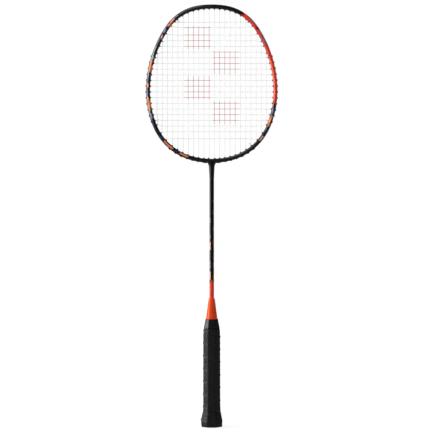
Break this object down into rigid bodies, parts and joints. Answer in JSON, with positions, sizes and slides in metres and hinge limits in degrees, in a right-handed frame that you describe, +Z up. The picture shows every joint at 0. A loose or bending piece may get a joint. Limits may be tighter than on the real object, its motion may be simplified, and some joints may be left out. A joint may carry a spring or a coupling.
{
  "type": "badminton racket",
  "caption": "Strung badminton racket: hollow oval head on a slim shaft, cone and taped eight-sided handle with a flared butt.",
  "frame": {"origin": "centre of the butt's foot, on the end disc's face", "axes": "+Z up the shaft to the head, +X across the string face, +Y through the string face, away from the viewer"},
  "size_m": [0.2118, 0.0306, 0.675],
  "materials": {
    "frame_lacquer": "black lacquered carbon laminate with orange, navy and grey painted areas",
    "joint_composite": "moulded composite, hidden",
    "shaft_lacquer": "black lacquered carbon tube, orange at its lower end",
    "cone_plastic": "orange gloss plastic",
    "handle_wood": "plain wood, hidden",
    "cap_plastic": "black moulded plastic",
    "staple_steel": "steel wire, hidden",
    "disc_plastic": "green-blue disc",
    "grip_leather": "black synthetic leather tape with stitched-look perforation",
    "finishing_vinyl": "black finishing tape",
    "string_nylon": "white coated nylon",
    "grommet_nylon": "black nylon"
  },
  "bodies": {
    "root": {"head_frame": "frame_lacquer", "t_joint": "joint_composite", "shaft": "shaft_lacquer", "cone_cap": "cone_plastic", "handle_core": "handle_wood", "butt_cap": "cap_plastic", "cap_staples": "staple_steel", "end_disc": "disc_plastic", "grip_tape": "grip_leather", "finishing_tape": "finishing_vinyl", "main_string": "string_nylon", "cross_string": "string_nylon", "grommets_crown": "grommet_nylon", "grommets_shoulder": "grommet_nylon", "grommets_side": "grommet_nylon", "grommets_jaw": "grommet_nylon", "grommets_throat": "grommet_nylon", "grommets_shared": "grommet_nylon", "throat_strip_right": "grommet_nylon", "throat_strip_left": "grommet_nylon"}
  },
  "joints": []
}
